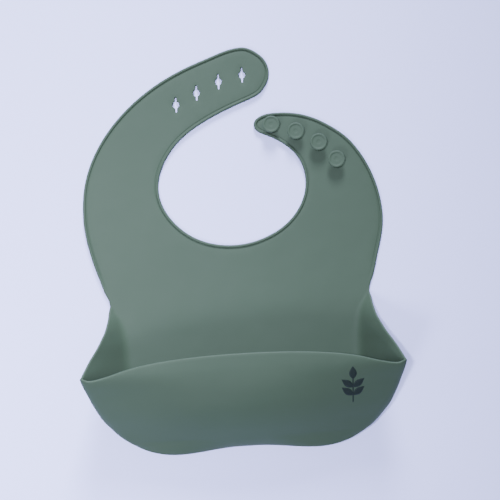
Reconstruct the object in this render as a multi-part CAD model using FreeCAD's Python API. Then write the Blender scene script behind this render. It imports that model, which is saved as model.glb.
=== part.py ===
"""Baby bib in soft silicone: a flat bib sheet with two neck straps, four keyholes on one
strap, four mushroom studs on the other, and a catch pocket that stands open at the bottom.

The bib lies on its back. Z = 0 is the surface it rests on, +Y runs from the pocket towards
the neck, and the origin is the middle of the footprint. All lengths are millimetres.
"""
import FreeCAD, Part
import math
import os

V = FreeCAD.Vector
os.makedirs("parts", exist_ok=True)

# Flat sheet and the raised bead round its edge
sheet_thick = 2.0
bead_width = 1.8
bead_rise = 0.7
bead_end_y = -26.0          # the bead has faded out below this line

# Waist: the sheet is narrowest here and the pocket begins just below it
waist_y = -38.0
waist_half = 98.0
waist_flex = 10.0           # height of the strip that folds

# Where each strap bends: centre of the bend line, and the heading of the strap there
hole_root = (-80.0, 66.0, 63.0)
hole_bend = (-60.0, 95.0, 43.0)
stud_root = (85.0, 20.0, 88.0)
stud_bend = (82.5, 43.0, 98.0)
strap_flex = 10.0           # length of strap that bends at each line

# Keyholes: a round hole for the stud post, slit above and below so the head can pass
keyhole_radius = 2.7
slit_length = 11.5
slit_width = 1.5
keyhole_centres = [(-39.0, 109.5), (-23.0, 117.5), (-6.0, 125.0), (12.0, 129.0)]

# Studs: a post with a flat round head, slightly dished on top
post_radius = 2.5
post_foot_radius = 3.6
head_radius = 6.35
head_thick = 1.9
stud_height = 6.0           # above the sheet
dish_radius = 4.6
dish_depth = 0.5
stud_centres = [(31.5, 90.0), (49.6, 83.8), (66.2, 74.6), (78.8, 61.0)]

# Pocket
wall = 1.6
gusset_spread = 0.66        # outward lean of the side walls, per millimetre of height
ridge_corner = (-88.0, 45.0)     # y and z of the top corners
ridge_slope = 0.72          # fall of the ridge between side wall and front wall
floor_y = -134.0            # below this line the wall is the rounded foot of the pocket
floor_half = 79.0           # half width of the flat back there
rim_band = 2.6              # width of the plain band along the pocket rim

# Printed sprig on the front of the pocket
mark_centre = (78.0, -104.0)
mark_height = 28.0
mark_thick = 0.25

# Edge of the flat sheet, anticlockwise from the right of the waist:
# x, y and the direction the edge runs in degrees
sheet_edge = [
    (waist_half, waist_y, 88), (101.5, -26.5, 72), (106.5, -9, 74), (111.5, 18, 91),
    (107.5, 43, 107), (92, 73, 128), (70, 90.5, 150), (39, 99, 179),
    # tip of the stud strap
    (23.5, 97, 206), (18.5, 91, 270), (23, 84.5, 335), (33.5, 79.5, 330),
    # neck opening
    (47, 69, 311), (55, 48, 271), (45, 21.5, 230), (27, 8, 205), (-1, 1.5, 180),
    (-28.5, 7.5, 154), (-46.5, 22, 129), (-56, 46, 91), (-43.5, 76.5, 50),
    # hole strap and its round tip
    (-12.5, 98.5, 26), (15.5, 110, 20), (26.7, 116.5, 50), (32.5, 129.5, 89),
    (26.3, 143.3, 139), (12, 149.8, 181), (-16.5, 142, 199), (-55.5, 124, 212),
    (-91, 93, 231), (-110.5, 56.5, 254), (-114, 28, 270), (-109.5, -2.5, 284),
    (-102, -26.5, 286), (-waist_half, waist_y, 272),
]

# Cross-sections of the pocket from the waist to the foot:
# y, half width at the base, height of the base, half width at the ridge,
# height of the ridge, height of the crown
pocket_sections = [
    (waist_y, waist_half, 0, 132.5, 52, 52),
    (-50, 91.5, 0, 125.4, 51, 51),
    (-64, 89.5, 0, 122, 49, 49.5),
    (-77, 89, 0, 120.3, 47.2, 47.8),
    (-88, 88.5, 0, 118.4, 45, 46.2),
    (-104, 87.5, 0, 114, 33.5, 42),
    (-120, 85, 0, 107.6, 22, 35),
    (-131, 80, 0.2, 100, 14.5, 28),
    (-139, 72, 1.2, 91, 10, 21),
    (-145, 63, 3, 80, 8.6, 15),
    (-148.3, 55, 4.8, 70, 8.6, 12.2),
    (-150.5, 50, 6.8, 61, 8.8, 10.3),
]

# Rim of the pocket seen from above, right half: x, y and direction in degrees
rim_line = [(0, -76.5, 0), (64, -79.7, -8), (92, -86.5, -16), (113, -91, -6), (140, -92, 0)]


def bezier(poles):
    curve = Part.BezierCurve()
    curve.setPoles([V(*p) for p in poles])
    return curve.toShape()


def curved_edge(a, b):
    """One smooth edge that leaves a and reaches b at their given directions."""
    turn = math.radians((b[2] - a[2] + 180) % 360 - 180)
    reach = math.dist(a[:2], b[:2]) / (3 * math.cos(turn / 4) ** 2)
    ha, hb = math.radians(a[2]), math.radians(b[2])
    return bezier([
        (a[0], a[1], 0),
        (a[0] + reach * math.cos(ha), a[1] + reach * math.sin(ha), 0),
        (b[0] - reach * math.cos(hb), b[1] - reach * math.sin(hb), 0),
        (b[0], b[1], 0),
    ])


def edges_through(points):
    return [curved_edge(a, b) for a, b in zip(points, points[1:])]


def line(a, b):
    return Part.makeLine(V(*a), V(*b))


def slab(bend, start, stop):
    """Block that covers everything from start to stop along a strap's heading."""
    block = Part.makeBox(stop - start, 600, 60, V(start, -300, -20))
    block.rotate(V(0, 0, 0), V(0, 0, 1), bend[2])
    block.translate(V(bend[0], bend[1], 0))
    return block


def nearest(shape, x, y, z=0):
    spot = Part.Vertex(V(x, y, z))
    return min(shape.Solids, key=lambda s: s.distToShape(spot)[0])


def yz_prism(points, half_width):
    """Block with the given outline in the YZ plane."""
    face = Part.Face(Part.makePolygon([V(-half_width, y, z) for y, z in points + points[:1]]))
    return face.extrude(V(2 * half_width, 0, 0))


def save(name, shape):
    solid = shape.Solids[0] if len(shape.Solids) == 1 else shape
    assert len(shape.Solids) == 1 and solid.isValid(), name
    solid.exportStep(f"parts/{name}.step")
    box = solid.BoundBox
    print(f"{name:24s} {solid.Volume / 1000:8.2f} cm3  z {box.ZMin:6.2f} to {box.ZMax:6.2f}")


# Flat sheet



def outline_face(points):
    """Face inside an open run of points, closed by a straight line."""
    end, start = points[-1], points[0]
    return Part.Face(Part.Wire(edges_through(points) + [line((*end[:2], 0), (*start[:2], 0))]))


def moved_in(point, distance):
    """A point of the sheet's edge moved into the sheet, square to the edge."""
    x, y, heading = point
    along = math.radians(heading)
    return (x - distance * math.sin(along), y + distance * math.cos(along), heading)


sheet = outline_face(sheet_edge).extrude(V(0, 0, sheet_thick))
inside_bead = outline_face([moved_in(point, bead_width) for point in sheet_edge])
bead = outline_face(sheet_edge).extrude(V(0, 0, bead_rise)).cut(
    inside_bead.extrude(V(0, 0, bead_rise)))
bead.translate(V(0, 0, sheet_thick))
bead = bead.common(Part.makeBox(600, 600, 60, V(-300, bead_end_y, -20)))


def strap_parts(root, bend, tip):
    """Sheet and bead solids of one strap: root bend, middle, tip bend and tip."""
    half = strap_flex / 2
    raised = sheet.fuse(bead)
    middle = slab(root, half, 300).cut(slab(bend, -half, 300))
    between = ((root[0] + bend[0]) / 2, (root[1] + bend[1]) / 2)
    return {
        "root_bend": nearest(raised.common(slab(root, -half, half)), *root[:2]),
        "middle": nearest(raised.common(middle), *between),
        "tip_bend": nearest(raised.common(slab(bend, -half, half)), *bend[:2]),
        "tip": nearest(sheet.common(slab(bend, half, 300)), *tip),
        "tip_edge": nearest(bead.common(slab(bend, half, 300)), *tip),
    }


hole_strap = strap_parts(hole_root, hole_bend, keyhole_centres[-1])
stud_strap = strap_parts(stud_root, stud_bend, stud_centres[0])

for x, y in keyhole_centres:
    hole = Part.makeCylinder(keyhole_radius, 3 * sheet_thick, V(x, y, -sheet_thick))
    slit = Part.makeBox(slit_width, slit_length - slit_width, 3 * sheet_thick,
                        V(x - slit_width / 2, y - (slit_length - slit_width) / 2, -sheet_thick))
    ends = [Part.makeCylinder(slit_width / 2, 3 * sheet_thick, V(x, y + side, -sheet_thick))
            for side in (-(slit_length - slit_width) / 2, (slit_length - slit_width) / 2)]
    hole_strap["tip"] = hole_strap["tip"].cut(hole.fuse([slit] + ends))

for part, solid in hole_strap.items():
    save(f"hole_strap_{part}", solid)
for part, solid in stud_strap.items():
    save(f"stud_strap_{part}", solid)

# The bib above the waist, without the straps
straps = [nearest(sheet.common(slab(root, -strap_flex / 2, 300)), *tip)
          for root, tip in ((hole_root, keyhole_centres[-1]), (stud_root, stud_centres[0]))]
flex_top = waist_y + waist_flex
waist_block = Part.makeBox(600, waist_flex, 60, V(-300, waist_y, -20))
save("waist_bend", sheet.common(waist_block))
save("upper_panel", sheet.cut(straps + [waist_block]))

body_bead = bead.cut([strap.translated(V(0, 0, sheet_thick)) for strap in straps])
save("neck_edge", nearest(body_bead, 0, 0))
save("left_edge", nearest(body_bead, -111, 0))
save("right_edge", nearest(body_bead, 108, 0))

# Studs

top = stud_height
profile = [
    (0, 0), (post_foot_radius, 0), (post_radius, 1.1), (post_radius, top - head_thick - 0.3),
    (head_radius - 0.9, top - head_thick), (head_radius, top - head_thick + 0.8),
    (head_radius - 0.5, top), (dish_radius, top), (dish_radius - 0.7, top - dish_depth),
    (0, top - dish_depth),
]
half_section = Part.Face(Part.makePolygon([V(r, 0, z) for r, z in profile + profile[:1]]))
for number, (x, y) in enumerate(stud_centres, start=1):
    stud = half_section.revolve(V(0, 0, 0), V(0, 0, 1), 360)
    stud.translate(V(x, y, sheet_thick))
    save(f"stud_{number}", stud)

# Pocket


def section_wire(y, base, base_z, ridge, ridge_z, crown):
    """Closed cross-section: flat base, leaning sides, rounded ridges, arched top."""
    rounding = 0.18
    side = (ridge - base, ridge_z - base_z)
    low = (ridge - rounding * side[0], ridge_z - rounding * side[1])
    over = (0.96 * ridge, ridge_z + 0.25 * (crown - ridge_z))
    arch = (4 * crown - over[1]) / 3
    lift = 0.45 * over[0]
    return Part.Wire([
        line((-base, y, base_z), (base, y, base_z)),
        line((base, y, base_z), (low[0], y, low[1])),
        bezier([(low[0], y, low[1]), (ridge, y, ridge_z), (over[0], y, over[1])]),
        bezier([(over[0], y, over[1]), (lift, y, arch), (-lift, y, arch),
                (-over[0], y, over[1])]),
        bezier([(-over[0], y, over[1]), (-ridge, y, ridge_z), (-low[0], y, low[1])]),
        line((-low[0], y, low[1]), (-base, y, base_z)),
    ])


def inset(rows):
    """Sections of the hollow: the outer ones moved in by the wall thickness."""
    lean = wall / math.cos(math.atan(gusset_spread))
    inner = []
    for i, (y, base, base_z, ridge, ridge_z, crown) in enumerate(rows):
        before, after = rows[max(i - 1, 0)], rows[min(i + 1, len(rows) - 1)]
        fall = math.atan2(before[5] - after[5], before[0] - after[0])
        inner.append((y + wall * math.sin(fall), base + gusset_spread * sheet_thick - lean,
                      base_z + sheet_thick, ridge - 1.25 * lean,
                      ridge_z - wall * math.cos(fall) * 0.9, crown - wall * math.cos(fall)))
    first = inner[0]
    return [(first[0] + 8,) + first[1:]] + inner


outer = Part.makeLoft([section_wire(*row) for row in pocket_sections], True, False)
hollow = Part.makeLoft([section_wire(*row) for row in inset(pocket_sections)[:-1]], True, False)

left_rim = [(-x, y, -heading) for x, y, heading in reversed(rim_line)]
rim_edges = edges_through(left_rim + rim_line[1:])
far, rim_end = 140, rim_line[-1][1]


def behind_rim(shift):
    """Block over everything on the neck side of the rim line, moved down by shift."""
    sides = [line((far, rim_end, 0), (far, 20, 0)), line((far, 20, 0), (-far, 20, 0)),
             line((-far, 20, 0), (-far, rim_end, 0))]
    block = Part.Face(Part.Wire(rim_edges + sides)).extrude(V(0, 0, 100))
    block.translate(V(0, -shift, 0))
    return block


side_rim = (ridge_corner[1] - sheet_thick) / (waist_y - ridge_corner[0])
above_side_rim = yz_prism([(waist_y + 1, sheet_thick - side_rim),
                           (-100, sheet_thick + side_rim * (waist_y + 100)), (-100, 120),
                           (waist_y + 1, 120)], far)
shell = outer.cut(hollow).cut(behind_rim(0).common(above_side_rim))


def ridge_height(y):
    return ridge_corner[1] + ridge_slope * (y - ridge_corner[0])


turn_y = ridge_corner[0] - 4
front_block = yz_prism([(-170, ridge_height(-170)), (turn_y, ridge_height(turn_y)), (-60, 36),
                        (-60, 120), (-170, 120)], far)
front = shell.common(front_block)
back = shell.cut(front_block)
# The back of the pocket is a plain plate; the side walls stand on its edges
base_edge = [V(base + gusset_spread * sheet_thick, y, 0) for y, base, *_ in pocket_sections
             if y > floor_y]
base_edge.append(V(floor_half, floor_y, 0))
side_curve = Part.BSplineCurve()
side_curve.interpolate(base_edge)
right_side = side_curve.toShape()
left_side = right_side.mirror(V(0, 0, 0), V(1, 0, 0))
plate_ends = [Part.makeLine(p, V(-p.x, p.y, 0)) for p in (base_edge[0], base_edge[-1])]
plate_face = Part.Face(Part.Wire(Part.sortEdges([right_side, left_side] + plate_ends)[0]))
plate = plate_face.extrude(V(0, 0, sheet_thick))
plate_block = Part.makeBox(600, waist_y - floor_y, sheet_thick + 1, V(-300, floor_y, -1)).fuse(
    Part.makeBox(140, waist_y - floor_y, 10, V(-70, floor_y, 0)))
foot_block = Part.makeBox(600, 60, 60, V(-300, floor_y - 60, -20))

save("lower_panel", plate)
save("pocket_foot", nearest(back.common(foot_block), 0, -140, 2))
sides = back.cut(plate_block.fuse(foot_block))
save("left_gusset", nearest(sides, -100, -80, 20))
save("right_gusset", nearest(sides, 100, -80, 20))

band_block = behind_rim(rim_band)
save("pocket_rim", nearest(front.common(band_block), 0, -77, 47))
front_wall = nearest(front.cut(band_block), 0, -110, 40)
save("pocket_front", front_wall)

# Sprig: a stem with pairs of leaves, printed as a thin layer on the pocket front


def leaf(x, y, length, width, heading):
    tip = length * math.cos(math.radians(heading)), length * math.sin(math.radians(heading))
    across = -width * math.sin(math.radians(heading)), width * math.cos(math.radians(heading))
    middle = (x + tip[0] / 2, y + tip[1] / 2)
    edges = [bezier([(x, y, 0), (middle[0] + s * across[0], middle[1] + s * across[1], 0),
                     (x + tip[0], y + tip[1], 0)]) for s in (1, -1)]
    return Part.Face(Part.Wire([edges[0], edges[1].reversed()])).extrude(V(0, 0, 100))


x0, y0 = mark_centre[0], mark_centre[1] - mark_height / 2
stem = Part.makeBox(1.0, mark_height * 0.7, 100, V(x0 - 0.5, y0, 0))
leaves = [leaf(x0, y0 + mark_height * 0.64, mark_height * 0.36, 5.5, 90)]
for step in (0.2, 0.42):
    for side in (1, -1):
        leaves.append(leaf(x0, y0 + mark_height * step, 10.5, 5, 90 - side * 52))
sprig = stem.fuse(leaves)
layer = outer.translated(V(0, 0, mark_thick)).cut(outer)
mark = nearest(sprig.common(layer), mark_centre[0], mark_centre[1], 60)
save("printed_mark", mark)
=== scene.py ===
import math

import bmesh
import bpy
import numpy as np
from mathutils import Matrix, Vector
from mathutils.geometry import delaunay_2d_cdt


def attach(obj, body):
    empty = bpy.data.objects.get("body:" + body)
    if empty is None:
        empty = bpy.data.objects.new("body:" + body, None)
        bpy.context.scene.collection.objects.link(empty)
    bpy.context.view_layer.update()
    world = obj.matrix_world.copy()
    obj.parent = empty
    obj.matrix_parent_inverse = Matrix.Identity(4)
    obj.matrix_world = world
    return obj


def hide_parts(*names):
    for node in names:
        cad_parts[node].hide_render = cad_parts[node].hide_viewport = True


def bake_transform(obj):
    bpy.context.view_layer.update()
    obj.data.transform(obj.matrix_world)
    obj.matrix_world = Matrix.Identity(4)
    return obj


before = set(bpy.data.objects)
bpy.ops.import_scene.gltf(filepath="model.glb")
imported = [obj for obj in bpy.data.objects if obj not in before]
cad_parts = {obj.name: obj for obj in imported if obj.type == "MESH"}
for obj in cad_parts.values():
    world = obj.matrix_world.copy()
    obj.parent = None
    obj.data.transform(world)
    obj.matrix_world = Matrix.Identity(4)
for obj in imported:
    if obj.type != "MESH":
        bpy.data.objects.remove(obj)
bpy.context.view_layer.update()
mm = 0.001
print("frame loaded:", len(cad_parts), "parts")


# smooth lines through points that each have a heading

def curvedRun(a, b, step):
    # points x, y and heading along one smooth run; a and b are x, y, heading in degrees
    turn = math.radians((b[2] - a[2] + 180) % 360 - 180)
    span = math.dist(a[:2], b[:2])
    reach = span / (3 * math.cos(turn / 4) ** 2)
    ha, hb = math.radians(a[2]), math.radians(b[2])
    p = np.array([a[:2],
                  (a[0] + reach * math.cos(ha), a[1] + reach * math.sin(ha)),
                  (b[0] - reach * math.cos(hb), b[1] - reach * math.sin(hb)),
                  b[:2]], float)
    t = np.linspace(0, 1, max(3, round(span / step)), endpoint=False)[:, None]
    xy = ((1 - t) ** 3 * p[0] + 3 * (1 - t) ** 2 * t * p[1]
          + 3 * (1 - t) * t * t * p[2] + t ** 3 * p[3])
    d = (1 - t) ** 2 * (p[1] - p[0]) + 2 * (1 - t) * t * (p[2] - p[1]) + t * t * (p[3] - p[2])
    return np.column_stack([xy, np.arctan2(d[:, 1], d[:, 0])])


def outlineThrough(knots, step, closed=False):
    last = knots[:1] if closed else []
    runs = [curvedRun(a, b, step) for a, b in zip(knots, knots[1:] + last)]
    if not closed:
        x, y, h = knots[-1]
        runs.append(np.array([[x, y, math.radians(h)]]))
    return np.vstack(runs)


def shifted(outline, inset):
    # the outline moved to its left, square to itself
    x, y, h = outline.T
    return np.column_stack([x - inset * np.sin(h), y + inset * np.cos(h)])


def isInside(points, loop):
    # which points lie inside the closed loop
    x, y = points[:, :1], points[:, 1:]
    ax, ay = loop.T
    bx, by = np.roll(loop, -1, axis=0).T
    crosses = (ay > y) != (by > y)
    with np.errstate(divide="ignore", invalid="ignore"):
        hit = x < (bx - ax) * (y - ay) / (by - ay) + ax
    return (crosses & hit).sum(1) % 2 == 1


def ease(t):
    # 0 to 1 with a soft start and end
    t = np.clip(t, 0, 1)
    return t * t * (3 - 2 * t)


def meshPiece(name, bm, material):
    bmesh.ops.recalc_face_normals(bm, faces=bm.faces)
    mesh = bpy.data.meshes.new(name)
    bm.to_mesh(mesh)
    bm.free()
    mesh.materials.append(material)
    piece = bpy.data.objects.new(name, mesh)
    bpy.context.scene.collection.objects.link(piece)
    return piece


# finishes: everything but the print is the same matt silicone

siliconeLook = {
    "tone": (0.031, 0.053, 0.030),
    "lightTone": (0.036, 0.061, 0.035),
    "toneSize": 14.0,        # patches per metre
    "roughness": (0.58, 0.68),
    "rubSize": 56.0,         # rubbed patches per metre
    "grainSize": 2600.0,     # mould grain per metre
    "grainDepth": 0.00003,   # metres
    "waveSize": 55.0,        # slow waves of the surface per metre
    "waveDepth": 0.00035,
    "specular": 0.2,
    "sheen": 0.04,
    "sheenRoughness": 0.5,
}


def blankFinish(name):
    # a new material, its node tree and its shader's inputs
    material = bpy.data.materials.new(name)
    material.use_nodes = True
    return material, material.node_tree, material.node_tree.nodes["Principled BSDF"].inputs


def noiseOf(tree, scale, detail):
    # noise in the piece's own coordinates
    place = tree.nodes.new("ShaderNodeTexCoord")
    noise = tree.nodes.new("ShaderNodeTexNoise")
    noise.inputs["Scale"].default_value = scale
    noise.inputs["Detail"].default_value = detail
    tree.links.new(place.outputs["Object"], noise.inputs["Vector"])
    return noise.outputs["Fac"]


def twoTones(tree, share, tone, otherTone):
    mix = tree.nodes.new("ShaderNodeMix")
    mix.data_type = "RGBA"
    mix.inputs["A"].default_value = (*tone, 1)
    mix.inputs["B"].default_value = (*otherTone, 1)
    tree.links.new(share, mix.inputs["Factor"])
    return mix.outputs["Result"]


def bumpOf(tree, height, depth):
    bump = tree.nodes.new("ShaderNodeBump")
    bump.inputs["Distance"].default_value = depth
    tree.links.new(height, bump.inputs["Height"])
    return bump


def siliconeFinish(name, look):
    material, tree, shader = blankFinish(name)
    link = tree.links.new
    patches = noiseOf(tree, look["toneSize"], 3)
    link(twoTones(tree, patches, look["tone"], look["lightTone"]), shader["Base Color"])
    rub = tree.nodes.new("ShaderNodeMapRange")
    rub.inputs["To Min"].default_value, rub.inputs["To Max"].default_value = look["roughness"]
    link(noiseOf(tree, look["rubSize"], 4), rub.inputs["Value"])
    link(rub.outputs["Result"], shader["Roughness"])
    wave = bumpOf(tree, noiseOf(tree, look["waveSize"], 1), look["waveDepth"])
    grain = bumpOf(tree, noiseOf(tree, look["grainSize"], 2), look["grainDepth"])
    link(wave.outputs["Normal"], grain.inputs["Normal"])
    link(grain.outputs["Normal"], shader["Normal"])
    shader["Specular IOR Level"].default_value = look["specular"]
    shader["Sheen Weight"].default_value = look["sheen"]
    shader["Sheen Roughness"].default_value = look["sheenRoughness"]
    return material


sageSilicone = siliconeFinish("sageSilicone", siliconeLook)

inkLook = {
    "tone": (0.004, 0.009, 0.007),
    "wornTone": (0.010, 0.018, 0.014),
    "grainSize": 1800.0,
    "grainDepth": 0.00002,
    "roughness": 0.7,
    "specular": 0.2,
}


def inkFinish(name, look):
    material, tree, shader = blankFinish(name)
    grain = noiseOf(tree, look["grainSize"], 2)
    tree.links.new(twoTones(tree, grain, look["tone"], look["wornTone"]), shader["Base Color"])
    bump = bumpOf(tree, grain, look["grainDepth"])
    tree.links.new(bump.outputs["Normal"], shader["Normal"])
    shader["Roughness"].default_value = look["roughness"]
    shader["Specular IOR Level"].default_value = look["specular"]
    return material


darkInk = inkFinish("darkInk", inkLook)
print("finishes made")


# flat sheet with the bead along its edge and the keyholes

bibSheet = {
    "thickness": 2.0,
    "edge": [  # anticlockwise from the right of the waist: x, y, heading
        (98, -38, 90), (101.7, -26.5, 72), (106.5, -9, 74), (111.5, 18, 91), (107.5, 43, 107),
        (92, 73, 128), (70, 90.5, 150), (39, 99, 179), (23.5, 97, 206), (18.5, 91, 270),
        (23, 84.5, 335), (33.5, 79.5, 330), (47, 69, 311), (55, 48, 271), (45, 21.5, 230),
        (27, 8, 205), (-1, 1.5, 180), (-28.5, 7.5, 154), (-46.5, 22, 129), (-56, 46, 91),
        (-43.5, 76.5, 50), (-12.5, 98.5, 26), (15.5, 110, 20), (26.7, 116.5, 50),
        (32.5, 129.5, 89), (26.3, 143.3, 139), (12, 149.8, 181), (-16.5, 142, 199),
        (-55.5, 124, 212), (-91, 93, 231), (-110.5, 56.5, 254), (-114, 28, 270),
        (-109.5, -2.5, 284), (-102.2, -26.5, 287), (-98, -38, 270)],
    "step": 1.5,
    # across the edge from back to front: inset, height with the bead, height without
    "profile": [(3.6, 0, 0), (0.9, 0, 0), (0.35, 0.08, 0.08), (0.08, 0.35, 0.35), (0, 0.8, 0.8),
                (0, 1.6, 1.4), (0.1, 2.05, 1.75), (0.35, 2.42, 1.93), (0.75, 2.62, 1.99),
                (1.2, 2.67, 2.0), (1.6, 2.6, 2.0), (1.9, 2.4, 2.0), (2.08, 2.05, 2.0),
                (2.2, 1.7, 2.0), (2.4, 1.56, 2.0), (2.7, 1.68, 2.0), (3.1, 1.9, 2.0),
                (3.6, 2.0, 2.0)],
    "beadFade": (-34, -8),   # y over which the bead comes in
    "fill": 4.5,             # spacing of the points inside
    "fillArea": (-120, 120, -38, 155),
    "fillRows": 0.87,        # row spacing, as a share of the point spacing
    "fillClear": 0.45,       # free space beside the edges, the same way
    "waistGap": 3.0,         # spacing along the waist
}
keyhole = {
    "centres": [(-39.0, 109.5), (-23.0, 117.5), (-6.0, 125.0), (12.0, 129.0)],
    # a quarter of the hole: x, y, heading
    "quarter": [(2.5, 0, 90), (1.77, 1.77, 135), (1.08, 2.28, 148), (0.7, 2.85, 94),
                (0.64, 5.0, 90)],
    "end": (0, 5.64, 180),
    "step": 0.35,
    "profile": [(0.45, 0), (0.25, 0), (0.06, 0.12), (0, 0.5), (0, 1.3), (0.05, 1.6), (0.14, 1.8),
                (0.28, 1.94), (0.45, 2.0)],
}
bends = {  # centre x, y and heading of the strap at each bend line
    "holeRoot": (-80, 66, 63), "holeTip": (-60, 95, 43),
    "studRoot": (85, 20, 88), "studTip": (82.5, 43, 98),
    "waist": (0, -33, 90),
}
bendStrip = {"half": 5.0, "cuts": 9}   # half the length that bends, and cuts across it


def keyholeOutline():
    right = keyhole["quarter"]
    upperLeft = [(-x, y, 360 - h) for x, y, h in reversed(right)]
    lowerLeft = [(-x, -y, h + 180) for x, y, h in right[1:]]
    lowerRight = [(x, -y, 180 - h) for x, y, h in reversed(right[1:])]
    end = keyhole["end"]
    knots = right + [end] + upperLeft + lowerLeft + [(end[0], -end[1], 0)] + lowerRight
    return outlineThrough(knots, keyhole["step"], closed=True)


def flatOf(verts):
    return np.array([(v.co.x, v.co.y) for v in verts]) / mm


def edgeRings(bm):
    # the border of the sheet, from the back round the edge to the front
    edge = outlineThrough(bibSheet["edge"], bibSheet["step"])
    low, high = bibSheet["beadFade"]
    bead = ease((edge[:, 1] - low) / (high - low))
    rings = []
    for inset, raised, plain in bibSheet["profile"]:
        z = plain + (raised - plain) * bead
        rings.append([bm.verts.new((x * mm, y * mm, h * mm))
                      for (x, y), h in zip(shifted(edge, inset), z)])
    for lower, upper in zip(rings, rings[1:]):
        for i in range(len(edge) - 1):
            bm.faces.new((lower[i], lower[i + 1], upper[i + 1], upper[i]))
    return rings[0], rings[-1]


def keyholeRings(bm):
    # the walls of the keyholes, each given back as its rings at the back and at the front
    shape = keyholeOutline()
    n = len(shape)
    holes = []
    for cx, cy in keyhole["centres"]:
        rings = [[bm.verts.new(((cx + x) * mm, (cy + y) * mm, z * mm))
                  for x, y in shifted(shape, -inset)] for inset, z in keyhole["profile"]]
        for lower, upper in zip(rings, rings[1:]):
            for i in range(n):
                bm.faces.new((lower[i], lower[(i + 1) % n], upper[(i + 1) % n], upper[i]))
        holes.append((rings[0], rings[-1]))
    return holes


def fillPoints(loop, holeLoops):
    # points spread evenly inside the sheet, clear of its edges
    gap = bibSheet["fill"]
    west, east, south, north = bibSheet["fillArea"]
    gx, gy = np.meshgrid(np.arange(west, east, gap),
                         np.arange(south, north, gap * bibSheet["fillRows"]))
    gx = gx + (np.arange(gx.shape[0])[:, None] % 2) * gap / 2
    grid = np.column_stack([gx.ravel(), gy.ravel()])
    grid = grid[isInside(grid, loop)]
    fence = np.vstack([loop] + holeLoops)
    gaps = np.sqrt(((grid[:, None] - fence[None]) ** 2).sum(2)).min(1)
    grid = grid[gaps > gap * bibSheet["fillClear"]]
    for hole in holeLoops:
        grid = grid[~isInside(grid, hole)]
    return grid


def sheetMesh():
    # the whole sheet: its edge, the keyholes, and the same triangles for the front and the back
    bm = bmesh.new()
    backEdge, frontEdge = edgeRings(bm)
    holes = keyholeRings(bm)
    border = flatOf(frontEdge)
    waistX = np.arange(border[-1, 0] + bibSheet["waistGap"], border[0, 0] - 2,
                       bibSheet["waistGap"])
    waist = np.column_stack([waistX, np.full(len(waistX), border[0, 1])])
    loop = np.vstack([border, waist])
    holeLoops = [flatOf(upper) for _, upper in holes]
    grid = fillPoints(loop, holeLoops)
    points = np.vstack([loop] + holeLoops + [grid])
    edges, start = [], 0
    for ring in [loop] + holeLoops:
        n = len(ring)
        edges += [(start + i, start + (i + 1) % n) for i in range(n)]
        start += n
    flat, _, triangles, origins = delaunay_2d_cdt([Vector(p) for p in points], edges, [], 0,
                                                  1e-5)[:4]
    flat = np.array([tuple(v) for v in flat])
    source = [ids[0] for ids in origins]
    middles = np.array([flat[list(f)].mean(0) for f in triangles])
    keep = isInside(middles, loop)
    for hole in holeLoops:
        keep &= ~isInside(middles, hole)

    back = list(backEdge) + [None] * len(waist)
    front = list(frontEdge) + [None] * len(waist)
    for lower, upper in holes:
        back += lower
        front += upper
    back += [None] * len(grid)
    front += [None] * len(grid)
    for i, (x, y) in enumerate(points):
        if front[i] is None:
            front[i] = bm.verts.new((x * mm, y * mm, bibSheet["thickness"] * mm))
            back[i] = bm.verts.new((x * mm, y * mm, 0))
    for face, inside in zip(triangles, keep):
        if inside:
            ids = [source[i] for i in face]
            bm.faces.new([front[i] for i in ids])
            bm.faces.new([back[i] for i in reversed(ids)])
    return bm


def along(name, point):
    # how far a point lies past a bend line
    cx, cy, heading = bends[name]
    h = math.radians(heading)
    return (point[0] / mm - cx) * math.cos(h) + (point[1] / mm - cy) * math.sin(h)


def cutAcross(bm, name, offset):
    cx, cy, heading = bends[name]
    h = math.radians(heading)
    way = Vector((math.cos(h), math.sin(h), 0))
    spot = Vector((cx, cy, 0)) * mm + way * offset * mm
    bmesh.ops.bisect_plane(bm, geom=bm.verts[:] + bm.edges[:] + bm.faces[:], plane_co=spot,
                           plane_no=way, dist=1e-6)


# where the pieces of the sheet meet, measured from each bend line
seams = {"holeRoot": -7.5, "holeTip": -9.5, "studRoot": -7.5, "studTip": -9.5}
strapGap = (10, 104)   # the stud strap lies right of this x and below this y


def regionOf(point):
    # the piece of the sheet that a point belongs to
    x, y = point[0] / mm, point[1] / mm
    strap = "hole" if x < strapGap[0] or y > strapGap[1] else "stud"
    if along(strap + "Root", point) < seams[strap + "Root"]:
        return "chestSheet"
    return strap + ("StrapLower" if along(strap + "Tip", point) < seams[strap + "Tip"]
                    else "StrapEnd")


whole = sheetMesh()
for name in bends:
    for offset in np.linspace(-bendStrip["half"], bendStrip["half"], bendStrip["cuts"]):
        cutAcross(whole, name, float(offset))
for name, offset in seams.items():
    cutAcross(whole, name, offset)
for face in whole.faces:
    face.smooth = True
sheetPieces = {}
for region in ("chestSheet", "holeStrapLower", "holeStrapEnd", "studStrapLower", "studStrapEnd"):
    part = whole.copy()
    unwanted = [f for f in part.faces if regionOf(f.calc_center_median()) != region]
    bmesh.ops.delete(part, geom=unwanted, context="FACES")
    openEdges = [e for e in part.edges if e.is_boundary]
    caps = bmesh.ops.holes_fill(part, edges=openEdges, sides=0)["faces"]
    for face in caps:
        face.smooth = False
    for edge in openEdges:
        edge.smooth = False
    sheetPieces[region] = meshPiece(region, part, sageSilicone)
    print(region, len(sheetPieces[region].data.polygons), "faces,", len(caps), "cut ends")
whole.free()

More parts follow.
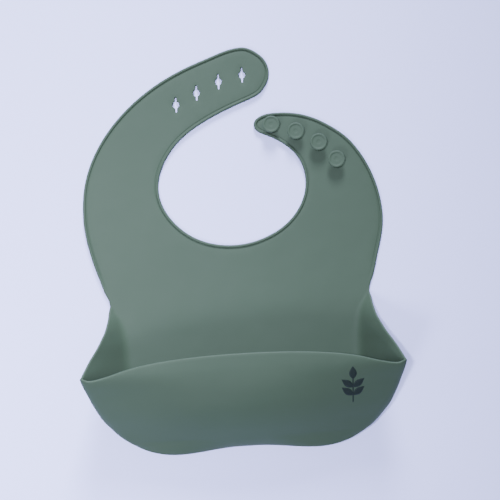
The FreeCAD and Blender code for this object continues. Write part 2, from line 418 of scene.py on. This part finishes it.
crossings = {  # piece: fixed body, moving body, bend line
    "chestSheet": ("lower_bib", "upper_bib", "waist"),
    "holeStrapLower": ("upper_bib", "hole_strap_lower", "holeRoot"),
    "holeStrapEnd": ("hole_strap_lower", "hole_strap_end", "holeTip"),
    "studStrapLower": ("upper_bib", "stud_strap_lower", "studRoot"),
    "studStrapEnd": ("stud_strap_lower", "stud_strap_end", "studTip"),
}
stoodFor = {
    "chestSheet": ("waist_bend", "upper_panel", "neck_edge", "left_edge", "right_edge"),
    "holeStrapLower": ("hole_strap_root_bend", "hole_strap_middle"),
    "holeStrapEnd": ("hole_strap_tip_bend", "hole_strap_tip", "hole_strap_tip_edge"),
    "studStrapLower": ("stud_strap_root_bend", "stud_strap_middle"),
    "studStrapEnd": ("stud_strap_tip_bend", "stud_strap_tip", "stud_strap_tip_edge"),
}
for name, (fixed, moving, line) in crossings.items():
    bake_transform(sheetPieces[name])
    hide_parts(*stoodFor[name])
print("sheet and straps made")


# pocket: cross-sections from the waist to the foot, joined into one skin, then given a wall

pocket = {
    # y, half width at the base, base height, lean of the side wall, ridge and crown height
    "sections": [
        (-38, 97.2, 0, 1.3, 50, 50), (-41, 96.5, 0, 1.3, 50, 50), (-44, 95.1, 0, 1.12, 50, 50),
        (-48, 92.9, 0, 0.93, 50, 50), (-55, 90.8, 0, 0.74, 49.7, 50),
        (-64, 89.6, 0, 0.675, 48.6, 49.3), (-76, 89, 0, 0.67, 46.8, 47.6),
        (-88, 88.5, 0, 0.66, 45, 45.8), (-104, 87.5, 0, 0.84, 33.5, 41.8),
        (-120, 85, 0, 1.18, 22.5, 34.8), (-131, 80, 0, 1.64, 15, 27.2),
        (-141, 71.9, 1.2, 2.3, 10.2, 18.4)],
    # front end seen from above, right half: x, y of the line where the foot closes
    "foot": [(0, -149.0), (12, -149.2), (24, -150.2), (36, -151.6), (48, -152.6), (58, -152.5),
             (68, -150.9), (78, -147.4), (88, -141.8)],
    "footRows": 9,
    "footHeight": 7.6,       # height at which the foot closes, at most
    "footInset": 2.5,        # the widest point ends this far inside the foot line
    "footLead": 0.5,         # the quarter turn keeps at least this share of the width
    "footDrop": 0.3,         # and of the height before it closes
    "footClose": 0.97,       # share of the way the rows go before the seam is zipped
    "solidRows": 4,          # rows at the foot that the hollow stays clear of
    "cornerY": -88.0,        # where the mouth's corners are
    "wallBack": 2.0,
    "wall": 1.7,
    "wallFade": 8.0,         # height over which the back's thickness becomes the wall's
    "baseRound": [(-38, 0.2), (-50, 3.4), (-64, 5.0), (-88, 5.6), (-120, 7.0), (-141, 6.0)],
    "ridgeRound": [(-38, 3.0), (-88, 3.2), (-104, 7), (-120, 11), (-131, 12), (-141, 9)],
    # the front's curve from the ridge to the crown, as shares: where it aims, how far it leads
    # out of the ridge, and how far it runs level at the crown
    "archSpread": 0.55,
    "archRise": 0.30,
    "archLead": 0.35,
    "archLevel": 0.42,
    "archPoints": 40,
    "ridgePoints": 16,
    # right half of the mouth's front edge: x, y, heading
    "rim": [(0, -76.8, 0), (57.3, -79.6, -6.5), (83.7, -84.1, -14), (100.8, -88.9, -12),
            (110.5, -90.6, 0), (115.6, -88.0, 75)],
    "rimTop": 43.6,          # outer height of the mouth at the corners
    "rimLead": 0.07,
    "rimReach": 26.0,        # how far down the wall the rows settle level
    "sideColumns": 46,
    "frontColumns": 97,
    "sideRows": 30,
    "frontRows": 52,
    "sideCrowd": 1.5,        # crowds the columns towards the ridge
    "rowCrowd": 0.9,         # and the rows towards the foot
    "lipSteps": 6,
    "foldTop": 0.92,         # share of the ridge height where the walls follow the front fully
}


def smoothTable(rows, y):
    # values between the rows, along a smooth curve through them
    rows = np.array(rows, float)[::-1]
    t, v = rows[:, 0], rows[:, 1:]
    slope = np.gradient(v, t, axis=0)
    y = min(max(y, t[0]), t[-1])
    i = min(np.searchsorted(t, y, side="right") - 1, len(t) - 2)
    w = t[i + 1] - t[i]
    s = (y - t[i]) / w
    return ((2 * s ** 3 - 3 * s ** 2 + 1) * v[i] + (s ** 3 - 2 * s ** 2 + s) * w * slope[i]
            + (3 * s ** 2 - 2 * s ** 3) * v[i + 1] + (s ** 3 - s ** 2) * w * slope[i + 1])


def smoothLine(line, x):
    # heights of a smooth curve through x, y points that starts level
    slope = np.gradient(line[:, 1], line[:, 0])
    slope[0] = 0
    i = np.clip(np.searchsorted(line[:, 0], x, side="right") - 1, 0, len(line) - 2)
    w = line[i + 1, 0] - line[i, 0]
    s = (x - line[i, 0]) / w
    return ((2 * s ** 3 - 3 * s ** 2 + 1) * line[i, 1] + (s ** 3 - 2 * s ** 2 + s) * w * slope[i]
            + (3 * s ** 2 - 2 * s ** 3) * line[i + 1, 1] + (s ** 3 - s ** 2) * w * slope[i + 1])


def softCorner(before, corner, after, cut, count=9):
    # points round a corner, leaving each side cut away from it
    a, c, b = (np.array(p, float) for p in (before, corner, after))
    a = c + (a - c) * min(0.48, cut / max(np.linalg.norm(a - c), 1e-9))
    b = c + (b - c) * min(0.48, cut / max(np.linalg.norm(b - c), 1e-9))
    t = np.linspace(0, 1, count)[:, None]
    return (1 - t) ** 2 * a + 2 * t * (1 - t) * c + t * t * b


def sectionPaths(y):
    # right half of the section at y: centre of the base to ridge, and ridge to crown, as x, z
    base, baseZ, lean, ridgeZ, crown = smoothTable(pocket["sections"], y)
    baseZ = max(baseZ, 0.0)
    ridge = base + lean * (ridgeZ - baseZ)
    roundness = float(smoothTable(pocket["ridgeRound"], y)[0])
    foot = float(smoothTable(pocket["baseRound"], y)[0])
    corner = softCorner((0, baseZ), (base, baseZ), (ridge, ridgeZ), foot)
    over = np.array((pocket["archSpread"] * ridge, crown + (ridgeZ - crown) * pocket["archRise"]))
    t = np.linspace(0, 1, pocket["archPoints"])[:, None]
    ridgeTurn = softCorner((base, baseZ), (ridge, ridgeZ), over, roundness,
                           pocket["ridgePoints"])
    end = ridgeTurn[-1]
    lead = end + (over - np.array((ridge, ridgeZ))) * pocket["archLead"]
    level = np.array((end[0] * pocket["archLevel"], crown))
    arch = ((1 - t) ** 3 * end + 3 * (1 - t) ** 2 * t * lead
            + 3 * (1 - t) * t * t * level + t ** 3 * np.array((0, crown)))
    half = len(ridgeTurn) // 2
    side = np.vstack([[(0, baseZ)], corner, ridgeTurn[:half + 1]])
    top = np.vstack([ridgeTurn[half:], arch[1:]])
    return side, top


def walk(path, shares):
    # points at shares of the path's length
    steps = np.linalg.norm(np.diff(path, axis=0), axis=1)
    gone = np.concatenate([[0], np.cumsum(steps)])
    gone /= gone[-1]
    return np.column_stack([np.interp(shares, gone, path[:, k]) for k in range(path.shape[1])])


def cutAtHeight(path, z):
    # the side path up to height z
    above = np.nonzero(path[:, 1] > z)[0]
    if not len(above):
        return path
    i = above[0]
    a, b = path[i - 1], path[i]
    return np.vstack([path[:i], a + (b - a) * (z - a[1]) / (b[1] - a[1])])


def rimHeight(y):
    # outer height of the side wall's edge: it leaves the sheet gently and then climbs evenly
    first, lead = pocket["sections"][0][0], pocket["rimLead"]
    t = (first - y) / (first - pocket["cornerY"])
    return pocket["rimTop"] * (t - lead * (1 - math.exp(-t / lead)) * (1 - t))


def sideRow(y, sideShare):
    # a row from the middle of the base up the side wall, as far as the edge of the mouth
    side, _ = sectionPaths(y)
    if y > pocket["cornerY"]:
        side = cutAtHeight(side, rimHeight(y))
    xz = walk(side, sideShare)
    return np.column_stack([xz[:, 0], np.full(len(xz), y), xz[:, 1]])


def frontRow(y, topShare, rim):
    # a row from the ridge over the front; near the mouth it follows the rim's line
    corner = pocket["cornerY"]
    settle = ease(1 - (corner - y) / pocket["rimReach"])
    guess = walk(sectionPaths(y)[1], topShare)
    edgeY = np.interp(guess[:, 0], rim[:, 0], rim[:, 1])
    edgeY[0] = corner
    row = []
    for share, localY in zip(topShare, y + (edgeY - corner) * settle):
        x, z = walk(sectionPaths(localY)[1], np.array([share]))[0]
        row.append((x, localY, z))
    return np.array(row)


def footRows(before, end):
    # the last row closes over a quarter turn on to the foot's front line
    widest = int(np.argmax(end[:, 0]))
    under = np.interp(end[:, 0], end[:widest + 1, 0], end[:widest + 1, 2])
    over = np.interp(end[:, 0], end[widest:, 0][::-1], end[widest:, 2][::-1])
    middle = np.minimum((under + over) / 2, pocket["footHeight"])
    line = np.array(pocket["foot"], float)
    closing = end.copy()
    closing[:, 0] = end[:, 0] * (line[-1, 0] - pocket["footInset"]) / end[widest, 0]
    closing[:, 1] = smoothLine(line, closing[:, 0])
    closing[:, 2] = middle
    lead = end + (end - before) * ((closing - end)[:, 1] / (end - before)[:, 1])[:, None]
    lead[:, 0] = np.minimum(lead[:, 0],
                            closing[:, 0] + pocket["footLead"] * (end - closing)[:, 0])
    least = pocket["footDrop"] * (end[:, 2] - middle)
    lead[:, 2] = np.where(least > 0, np.maximum(lead[:, 2], middle + least),
                          np.minimum(lead[:, 2], middle + least))
    return [(1 - t) ** 2 * end + 2 * t * (1 - t) * lead + t * t * closing
            for t in np.linspace(0, pocket["footClose"], pocket["footRows"])[1:]]


def pocketGrids():
    # right half, as rows of points: side rows, then full rows; the left half mirrors it
    sideShare = 1 - (1 - np.linspace(0, 1, pocket["sideColumns"])) ** pocket["sideCrowd"]
    topShare = np.linspace(0, 1, (pocket["frontColumns"] + 1) // 2)
    rim = outlineThrough(pocket["rim"], 1.0)
    first, last = pocket["sections"][0][0], pocket["sections"][-1][0]
    corner = pocket["cornerY"]
    upper = [sideRow(y, sideShare) for y in np.linspace(first, corner, pocket["sideRows"])]
    levels = (corner + (last - corner)
              * np.linspace(0, 1, pocket["frontRows"]) ** pocket["rowCrowd"])
    lower = [np.vstack([sideRow(y, sideShare), frontRow(y, topShare, rim)[1:]]) for y in levels]
    lower += footRows(lower[-2], lower[-1])
    return np.array(upper), np.array(lower)


def mirrored(row):
    return row * np.array((-1, 1, 1))


def zipped(bm, ring, flip=False):
    # close a flat ring across, from its left end to its right end
    left = min(range(len(ring)), key=lambda i: ring[i].co.x)
    ring = ring[left:] + ring[:left]
    right = max(range(len(ring)), key=lambda i: ring[i].co.x)
    near, far = ring[:right + 1], [ring[0]] + ring[right:][::-1]
    i = j = 0
    while i < len(near) - 1 or j < len(far) - 1:
        stepNear = j == len(far) - 1 or (i < len(near) - 1 and near[i + 1].co.x <= far[j + 1].co.x)
        corner = near[i + 1] if stepNear else far[j + 1]
        if corner not in (near[i], far[j]) and near[i] is not far[j]:
            ends = (near[i], corner, far[j])
            bm.faces.new(ends[::-1] if flip else ends)
        i, j = (i + 1, j) if stepNear else (i, j + 1)


def wallAt(point):
    # the back is thicker than the side and front walls
    back = float(ease(1 - (point.z / mm) / pocket["wallFade"]))
    return (pocket["wall"] + (pocket["wallBack"] - pocket["wall"]) * back) * mm


def pocketShell(bm):
    # one row runs round the pocket: left rim or ridge, down the left side, across the base, up
    # the right side, and for the full rows on over the front to the left again
    upperRows, lowerRows = pocketGrids()
    sideRings = [np.vstack([mirrored(r)[::-1], r[1:]]) for r in upperRows]
    fullRings = []
    for r in lowerRows:
        side, top = r[:pocket["sideColumns"]], r[pocket["sideColumns"]:]
        fullRings.append(np.vstack([mirrored(side)[::-1], side[1:], top,
                                    mirrored(top)[::-1][1:]]))
    sideWidth, fullWidth = len(sideRings[0]), len(fullRings[0])
    sideVerts = [[bm.verts.new(p * mm) for p in ring] for ring in sideRings[:-1]]
    fullVerts = [[bm.verts.new(p * mm) for p in ring] for ring in fullRings]
    sideVerts.append(fullVerts[0][:sideWidth])
    for a, b in zip(sideVerts, sideVerts[1:]):
        for i in range(sideWidth - 1):
            bm.faces.new((a[i], a[i + 1], b[i + 1], b[i]))
    for a, b in zip(fullVerts, fullVerts[1:]):
        for i in range(fullWidth):
            j = (i + 1) % fullWidth
            bm.faces.new((a[i], a[j], b[j], b[i]))
    # the outside faces outwards before the wall is added
    bm.normal_update()
    below = min(bm.faces, key=lambda f: f.calc_center_median().z)
    if below.normal.z > 0:
        bmesh.ops.reverse_faces(bm, faces=bm.faces[:])
        bm.normal_update()
    return sideVerts, fullVerts


def hollowed(bm, sideVerts, fullVerts):
    # the inside of the wall, as vertices matched to those outside, and the closed foot
    hollowRows = sideVerts + fullVerts[:-pocket["solidRows"]]
    keepInside = {v for row in hollowRows for v in row}
    inner = {}
    for v in list(bm.verts):
        if v in keepInside:
            inner[v] = bm.verts.new(v.co - v.normal * wallAt(v.co))
    for v in sideVerts[0]:
        inner[v].co = v.co + Vector((0, 0, pocket["wallBack"] * mm))
    for face in bm.faces[:]:
        if all(v in keepInside for v in face.verts):
            bm.faces.new([inner[v] for v in reversed(face.verts)])
    zipped(bm, fullVerts[-1])
    zipped(bm, [inner[v] for v in hollowRows[-1]], flip=True)
    return inner


def roundedLip(bm, rimVerts, inner):
    # half rounds that join the outside of the mouth to its inside
    lipRows = [rimVerts]
    for k in range(1, pocket["lipSteps"]):
        angle = math.pi * k / pocket["lipSteps"]
        row = []
        for n, v in enumerate(rimVerts):
            a, b = v.co, inner[v].co
            across = (a - b) / 2
            if n in (0, len(rimVerts) - 1):
                onward = Vector((0, -1 if n == 0 else 1, 0))
            else:
                onward = rimVerts[n + 1].co - rimVerts[n - 1].co
            rise = onward.cross(across).normalized() * across.length
            row.append(bm.verts.new((a + b) / 2 + across * math.cos(angle)
                                    + rise * math.sin(angle)))
        lipRows.append(row)
    lipRows.append([inner[v] for v in rimVerts])
    for a, b in zip(lipRows, lipRows[1:]):
        for i in range(len(a) - 1):
            bm.faces.new((a[i], a[i + 1], b[i + 1], b[i]))


def pocketMesh():
    bm = bmesh.new()
    sideVerts, fullVerts = pocketShell(bm)
    inner = hollowed(bm, sideVerts, fullVerts)
    rimVerts = ([row[-1] for row in sideVerts] + fullVerts[0][len(sideVerts[0]):]
                + [row[0] for row in reversed(sideVerts)])
    roundedLip(bm, rimVerts, inner)
    for face in bm.faces:
        face.smooth = True
    openEdges = [e for e in bm.edges if e.is_boundary]
    for face in bmesh.ops.holes_fill(bm, edges=openEdges, sides=0)["faces"]:
        face.smooth = False
    for edge in openEdges:
        edge.smooth = False
    print("pocket closed at the waist over", len(openEdges), "open edges")
    return bm


pocketSkin = meshPiece("pocketSkin", pocketMesh(), sageSilicone)
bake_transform(pocketSkin)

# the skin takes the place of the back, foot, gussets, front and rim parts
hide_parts("lower_panel", "pocket_foot", "left_gusset", "right_gusset",
            "pocket_front", "pocket_rim")
print("pocket made:", len(pocketSkin.data.polygons), "faces")


# studs: one turned shape, put on four points

studs = {
    "centres": [(31.5, 90.0), (49.6, 83.8), (66.2, 74.6), (78.8, 61.0)],
    "base": 2.0,
    # radius and height above the sheet, from the foot of the post over the head
    "profile": [(4.4, -0.3), (4.1, 0.0), (3.2, 0.35), (2.65, 1.0), (2.5, 1.9), (2.5, 3.2),
                (2.7, 3.75), (3.6, 4.05), (5.4, 4.15), (5.95, 4.3), (6.25, 4.65), (6.35, 5.0),
                (6.35, 5.5), (6.24, 5.82), (5.95, 6.0), (5.55, 6.04), (5.1, 6.02), (4.8, 5.9),
                (4.5, 5.74), (4.1, 5.68), (2.6, 5.7), (1.7, 5.72), (1.5, 5.66), (1.3, 5.6),
                (0.7, 5.58)],
    "crown": 5.58,
    "around": 56,
    "size": 1.0,
    "turnSeed": 4,
}


def studTree(material):
    # one stud put on every point of a guide mesh, each turned by its own angle
    tree = bpy.data.node_groups.new("studRow", "GeometryNodeTree")
    for label, kind in (("Geometry", "Geometry"), ("Stud", "Object"), ("Stud size", "Float"),
                        ("Turn seed", "Int")):
        tree.interface.new_socket(label, in_out="INPUT", socket_type="NodeSocket" + kind)
    tree.interface.new_socket("Geometry", in_out="OUTPUT", socket_type="NodeSocketGeometry")
    nodes, link = tree.nodes, tree.links.new
    start, end = nodes.new("NodeGroupInput"), nodes.new("NodeGroupOutput")
    info = nodes.new("GeometryNodeObjectInfo")
    turn = nodes.new("FunctionNodeRandomValue")
    turn.inputs["Max"].default_value = 2 * math.pi
    spin = nodes.new("ShaderNodeCombineXYZ")
    put = nodes.new("GeometryNodeInstanceOnPoints")
    real = nodes.new("GeometryNodeRealizeInstances")
    paint = nodes.new("GeometryNodeSetMaterial")
    paint.inputs["Material"].default_value = material
    link(start.outputs["Stud"], info.inputs["Object"])
    link(start.outputs["Turn seed"], turn.inputs["Seed"])
    link(turn.outputs[1], spin.inputs["Z"])
    link(start.outputs["Geometry"], put.inputs["Points"])
    link(info.outputs["Geometry"], put.inputs["Instance"])
    link(spin.outputs["Vector"], put.inputs["Rotation"])
    link(start.outputs["Stud size"], put.inputs["Scale"])
    link(put.outputs["Instances"], real.inputs["Geometry"])
    link(real.outputs["Geometry"], paint.inputs["Geometry"])
    link(paint.outputs["Geometry"], end.inputs["Geometry"])
    return tree


def turned(profile, crown, around):
    # radius and height pairs turned round the post's axis, closed at both ends
    bm = bmesh.new()
    rings = [[bm.verts.new((r * math.cos(a) * mm, r * math.sin(a) * mm, z * mm))
              for a in np.linspace(0, 2 * math.pi, around, endpoint=False)]
             for r, z in profile]
    for lower, upper in zip(rings, rings[1:]):
        for i in range(around):
            j = (i + 1) % around
            bm.faces.new((lower[i], lower[j], upper[j], upper[i]))
    top = bm.verts.new((0, 0, crown * mm))
    foot = bm.verts.new((0, 0, profile[0][1] * mm))
    for i in range(around):
        j = (i + 1) % around
        bm.faces.new((rings[-1][i], rings[-1][j], top))
        bm.faces.new((rings[0][j], rings[0][i], foot))
    for f in bm.faces:
        f.smooth = True
    return bm


oneStud = meshPiece("oneStud", turned(studs["profile"], studs["crown"], studs["around"]),
                    sageSilicone)
studSpots = bpy.data.meshes.new("studSpots")
studSpots.from_pydata([(x * mm, y * mm, studs["base"] * mm) for x, y in studs["centres"]],
                      [], [])
guide = bpy.data.objects.new("studGuide", studSpots)
bpy.context.scene.collection.objects.link(guide)
placing = guide.modifiers.new("studRow", "NODES")
placing.node_group = studTree(sageSilicone)
sockets = {s.name: s.identifier for s in placing.node_group.interface.items_tree
           if s.in_out == "INPUT"}
placing[sockets["Stud"]] = oneStud
placing[sockets["Stud size"]] = studs["size"]
placing[sockets["Turn seed"]] = studs["turnSeed"]
bpy.context.view_layer.update()
evaluated = guide.evaluated_get(bpy.context.evaluated_depsgraph_get())
studMesh = bpy.data.meshes.new_from_object(evaluated)
studMesh.name = "studRow"
studRow = bpy.data.objects.new("studRow", studMesh)
bpy.context.scene.collection.objects.link(studRow)
bpy.data.objects.remove(guide)
bpy.data.objects.remove(oneStud)
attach(studRow, "stud_strap_end")
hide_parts("stud_1", "stud_2", "stud_3", "stud_4")
print("studs made:", len(studMesh.polygons), "faces")


# printed sprig, a thin film that lies on the front wall

sprig = {
    "foot": (78.0, -118.0),
    "height": 28.0,
    "stemWidth": 0.9,
    "stemShare": 0.68,       # of the height
    # leaf: place up the stem, length as a share of the height, half width, lean in degrees
    "leaves": [(0.64, 0.36, 2.7, 0), (0.2, 0.375, 2.5, -52), (0.2, 0.375, 2.5, 52),
               (0.42, 0.375, 2.5, -52), (0.42, 0.375, 2.5, 52)],
    "lift": 0.12,            # the ink's face above the wall
    "film": 0.2,
}


def frontHeight(x, y):
    # height of the pocket's front wall over a spot
    _, top = sectionPaths(y)
    order = np.argsort(top[:, 0])
    return float(np.interp(abs(x), top[order, 0], top[order, 1]))


def sprigMesh():
    bm = bmesh.new()
    fx, fy = sprig["foot"]
    size = sprig["height"]
    strips = []   # each one pairs of points, right and left, from the root up
    for place, length, half, lean in sprig["leaves"]:
        a = math.radians(lean)
        way, side = np.array((math.sin(a), math.cos(a))), np.array((math.cos(a), -math.sin(a)))
        root = np.array((fx, fy + place * size))
        t = np.linspace(0, 1, 15)
        bulge = half * np.sin(math.pi * t ** 0.85) ** 1.1
        vein = [root + way * length * size * k for k in t]
        strips.append([(v + side * b, v - side * b) for v, b in zip(vein, bulge)])
    w = sprig["stemWidth"] / 2
    strips.append([((fx + w, fy + k), (fx - w, fy + k))
                   for k in np.linspace(0, sprig["stemShare"] * size, 18)])
    for strip in strips:
        rows = []
        for right, left in strip:
            right, left = np.array(right), np.array(left)
            row = []
            for k in np.linspace(0, 1, 5):
                x, y = right + (left - right) * k
                z = frontHeight(x, y) + sprig["lift"]
                row.append(bm.verts.new((x * mm, y * mm, z * mm)))
            rows.append(row)
        for a, b in zip(rows, rows[1:]):
            for i in range(4):
                bm.faces.new((a[i], a[i + 1], b[i + 1], b[i]))
        bmesh.ops.remove_doubles(bm, verts=[v for row in rows for v in row], dist=1e-6)
    for f in bm.faces:
        f.smooth = True
    return bm


sprigPiece = meshPiece("sprig", sprigMesh(), darkInk)
film = sprigPiece.modifiers.new("film", "SOLIDIFY")
film.thickness = sprig["film"] * mm
film.offset = -1
filmMesh = bpy.data.meshes.new_from_object(sprigPiece.evaluated_get(
    bpy.context.evaluated_depsgraph_get()))
sprigPiece.modifiers.clear()
sprigPiece.data = filmMesh
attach(sprigPiece, "pocket_wall")
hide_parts("printed_mark")
print("sprig made")


# table, light and camera

studio = {
    "table": (0.60, 0.635, 0.97),
    "tableRoughness": 0.8,
    "tableSpecular": 0.2,
    "tableSize": 6.0,        # metres
    "tableDrop": 0.0001,
    "worldTone": (0.93, 0.95, 1.28),
    "worldStrength": 0.48,
    "lightTone": (0.96, 0.98, 1.30),
    "camera": (10.0, -3.0, 800.0),
    "cameraTurn": -3.562,
    "lens": 76.3,
    # place, aimed at, width, height, watts, spread in degrees
    "overhead": ((-216, 85, 1288), (-270, -110, 0), 80, 80, 3.5, 66),
    "farSide": ((120, 1350, 640), (-260, -220, 0), 420, 420, 8.6, 60),
    "nearSide": ((-460, -590, 850), (-300, -220, 0), 320, 320, 2.9, 90),
}


def softLight(name, spec):
    place, aim, width, height, watts, spread = spec
    lamp = bpy.data.lights.new(name, "AREA")
    lamp.shape = "RECTANGLE"
    lamp.size, lamp.size_y, lamp.energy = width * mm, height * mm, watts
    lamp.spread = math.radians(spread)
    lamp.color = studio["lightTone"]
    obj = bpy.data.objects.new(name, lamp)
    obj.location = Vector(place) * mm
    obj.rotation_euler = (Vector(aim) - Vector(place)).to_track_quat("-Z", "Y").to_euler()
    obj.visible_camera = False
    bpy.context.scene.collection.objects.link(obj)


tableTop = bpy.data.meshes.new("tableTop")
half = studio["tableSize"] / 2
tableTop.from_pydata([(-half, -half, 0), (half, -half, 0), (half, half, 0), (-half, half, 0)],
                     [], [(0, 1, 2, 3)])
table = bpy.data.objects.new("tableTop", tableTop)
table.location.z = -studio["tableDrop"]
bpy.context.scene.collection.objects.link(table)
paper, _, paperLook = blankFinish("palePaper")
paperLook["Base Color"].default_value = (*studio["table"], 1)
paperLook["Roughness"].default_value = studio["tableRoughness"]
paperLook["Specular IOR Level"].default_value = studio["tableSpecular"]
tableTop.materials.append(paper)

for name in ("overhead", "farSide", "nearSide"):
    softLight(name, studio[name])
world = bpy.data.worlds.new("studio")
world.use_nodes = True
sky = world.node_tree.nodes["Background"].inputs
sky["Color"].default_value = (*studio["worldTone"], 1)
sky["Strength"].default_value = studio["worldStrength"]
bpy.context.scene.world = world

lens = bpy.data.cameras.new("camera")
lens.lens = studio["lens"]
lens.clip_start, lens.clip_end = 0.05, 20
camera = bpy.data.objects.new("camera", lens)
camera.location = Vector(studio["camera"]) * mm
camera.rotation_euler = (0, 0, math.radians(studio["cameraTurn"]))
bpy.context.scene.collection.objects.link(camera)
bpy.context.scene.camera = camera
print("table, light and camera made")
